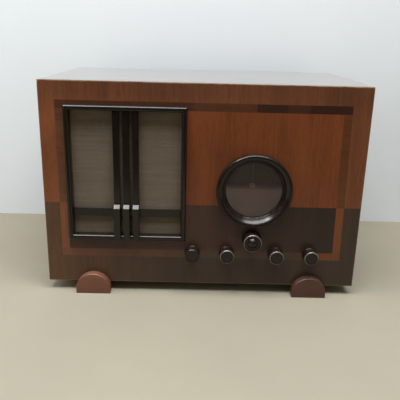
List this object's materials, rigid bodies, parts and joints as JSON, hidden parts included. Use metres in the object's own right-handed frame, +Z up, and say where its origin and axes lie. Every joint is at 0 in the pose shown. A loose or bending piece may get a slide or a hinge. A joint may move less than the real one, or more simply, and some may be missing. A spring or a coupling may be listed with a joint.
{
  "type": "tabletop radio",
  "caption": "Box-shaped wooden valve radio on half-round feet, with a louvred speaker grille at the left, a round dial with a deep bezel, and a row of round control knobs.",
  "frame": {"origin": "centre of the bounding box, on the plane that the feet stand on", "axes": "+Z up; +X to the right of someone facing the front; the front faces -Y"},
  "size_m": [0.5, 0.32, 0.34],
  "materials": {
    "veneer": "orange-brown and near-black figured veneers laid in counterchange with a crossbanded border, french polished",
    "case_wood": "figured walnut veneer, french polished, worn along its edges",
    "plywood": "bare birch ply, dusty",
    "foot_wood": "reddish stained hardwood, low sheen",
    "ebonised_wood": "black-brown ebonised hardwood, glossy lacquer",
    "grille_fabric": "coarse grey-brown woven speaker cloth",
    "bakelite": "dark brown moulded bakelite, polished",
    "fibreboard": "brown pressed fibreboard, matt",
    "clear_glass": "clear flat glass, slightly dusty",
    "scale_print": "dark red-brown printed dial scale",
    "pointer_red": "red enamelled pointer",
    "chassis_steel": "cadmium-plated sheet steel, dulled",
    "plated_steel": "bright plated pressed steel",
    "aluminium": "plain pressed aluminium, dulled",
    "cone_paper": "pressed black-brown paper",
    "iron": "black japanned iron laminations and pot",
    "valve_glass": "smoke-grey glass envelope with a silvered top",
    "brass": "turned brass, tarnished",
    "rubber": "black rubber",
    "cord_linen": "waxed linen drive cord"
  },
  "bodies": {
    "cabinet": {"front_panel": "veneer", "top_panel": "case_wood", "left_side_panel": "case_wood", "right_side_panel": "case_wood", "bottom_panel": "plywood", "baffle_board": "plywood", "front_left_foot": "foot_wood", "front_right_foot": "foot_wood", "rear_foot": "foot_wood", "grille_frame": "ebonised_wood", "grille_crossbar": "ebonised_wood", "grille_bar_left": "ebonised_wood", "grille_bar_middle": "ebonised_wood", "grille_bar_right": "ebonised_wood", "grille_cloth": "grille_fabric", "dial_bezel": "bakelite", "socket_plate": "bakelite", "back_cover": "fibreboard", "dial_glass": "clear_glass", "dial_scale": "scale_print", "chassis": "chassis_steel", "gang_stand": "chassis_steel", "gang_frame": "chassis_steel", "speaker_basket": "chassis_steel", "tone_control": "plated_steel", "volume_control": "plated_steel", "selectivity_switch": "plated_steel", "waveband_switch": "plated_steel", "gang_stator": "aluminium", "if_transformer_first": "aluminium", "if_transformer_second": "aluminium", "smoothing_capacitor": "aluminium", "speaker_cone": "cone_paper", "speaker_magnet": "iron", "output_transformer": "iron", "mains_transformer": "iron", "mixer_valve": "valve_glass", "amplifier_valve": "valve_glass", "output_valve": "valve_glass", "rectifier_valve": "valve_glass", "dial_lamp": "brass", "cover_screw_upper_left": "brass", "cover_screw_upper_right": "brass", "cover_screw_lower_left": "brass", "cover_screw_lower_right": "brass", "mains_grommet": "rubber", "drive_cord": "cord_linen"},
    "tuning_gang": {"gang_rotor": "aluminium", "drive_drum": "brass", "dial_pointer": "pointer_red"},
    "tuning": {"tuning_knob": "bakelite", "tuning_spindle": "brass"},
    "tone": {"tone_knob": "bakelite", "tone_shaft": "brass"},
    "volume": {"volume_knob": "bakelite", "volume_shaft": "brass"},
    "selectivity": {"selectivity_knob": "bakelite", "selectivity_shaft": "brass"},
    "waveband": {"waveband_knob": "bakelite", "waveband_shaft": "brass"}
  },
  "joints": [
    {"name": "gang_turn", "type": "hinge", "parent": "cabinet", "child": "tuning_gang", "pos_m": [0.0795, -0.136, 0.1765], "axis": [0, 1, 0], "range_deg": [-90, 90]},
    {"name": "tuning_turn", "type": "hinge", "parent": "cabinet", "child": "tuning", "pos_m": [0.0795, -0.136, 0.0956], "axis": [0, 1, 0], "range_deg": [-900, 900]},
    {"name": "tone_turn", "type": "hinge", "parent": "cabinet", "child": "tone", "pos_m": [-0.0157, -0.136, 0.0715], "axis": [0, 1, 0], "range_deg": [-135, 135]},
    {"name": "volume_turn", "type": "hinge", "parent": "cabinet", "child": "volume", "pos_m": [0.04, -0.136, 0.0715], "axis": [0, 1, 0], "range_deg": [-135, 135]},
    {"name": "selectivity_turn", "type": "hinge", "parent": "cabinet", "child": "selectivity", "pos_m": [0.119, -0.136, 0.0715], "axis": [0, 1, 0], "range_deg": [-30, 30]},
    {"name": "waveband_turn", "type": "hinge", "parent": "cabinet", "child": "waveband", "pos_m": [0.1747, -0.136, 0.0715], "axis": [0, 1, 0], "range_deg": [-45, 45]}
  ],
  "couplings": [
    {"joint": "tuning_turn", "follows": "gang_turn", "ratio": 10}
  ]
}
